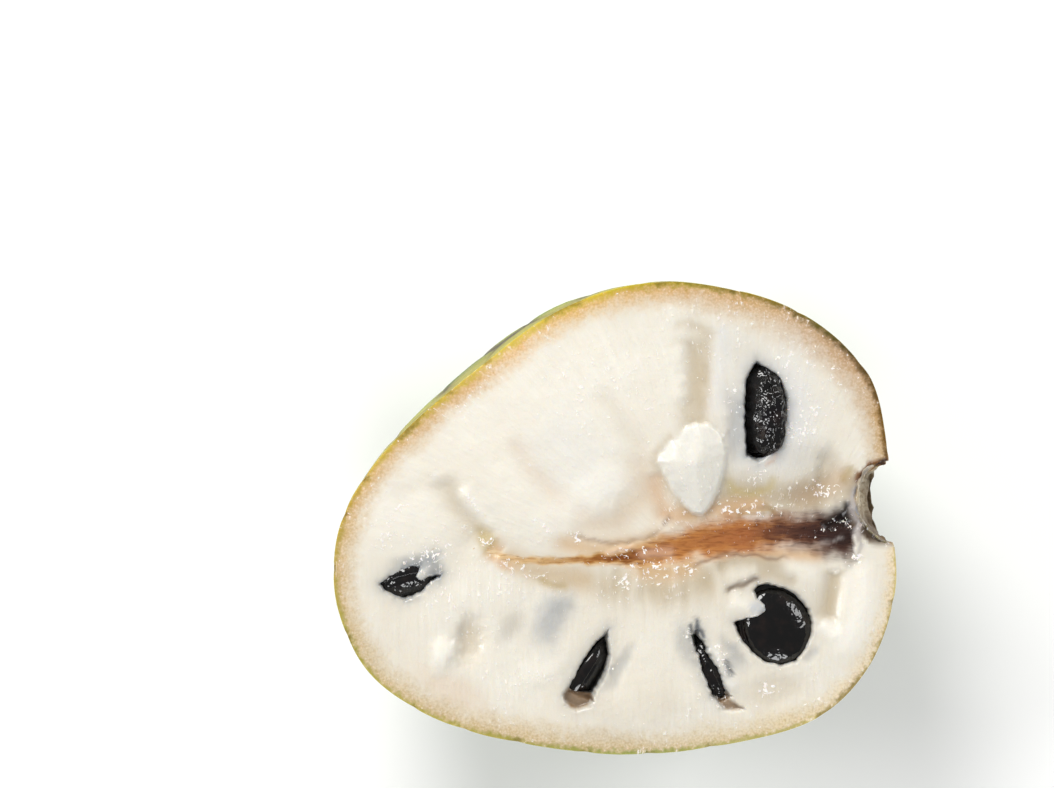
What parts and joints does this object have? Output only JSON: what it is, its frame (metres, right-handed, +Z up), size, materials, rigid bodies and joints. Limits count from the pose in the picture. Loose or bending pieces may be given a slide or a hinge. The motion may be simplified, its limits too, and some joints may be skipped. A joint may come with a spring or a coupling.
{
  "type": "halved custard apple",
  "caption": "Half a custard apple cut lengthwise through its stem scar, lying on its scaly green skin with the white flesh, fibrous core and glossy black seeds facing up.",
  "frame": {"origin": "on the surface the half lies on, under the middle of its bounding box", "axes": "+X along the fruit's axis towards the stem scar, +Z up, the way the cut face looks, +Y to the left of the axis seen from above"},
  "size_m": [0.1004, 0.0845, 0.0432],
  "materials": {
    "fruit": "moist creamy flesh inside a matt green waxy skin",
    "seed_coat": "glossy black seed coat, wet with juice"
  },
  "bodies": {
    "root": {"fruit_half": "fruit", "seed_upper": "seed_coat", "seed_face_on": "seed_coat", "seed_edge_on": "seed_coat", "seed_sliver": "seed_coat", "seed_left": "seed_coat", "seed_buried": "seed_coat"}
  },
  "joints": []
}
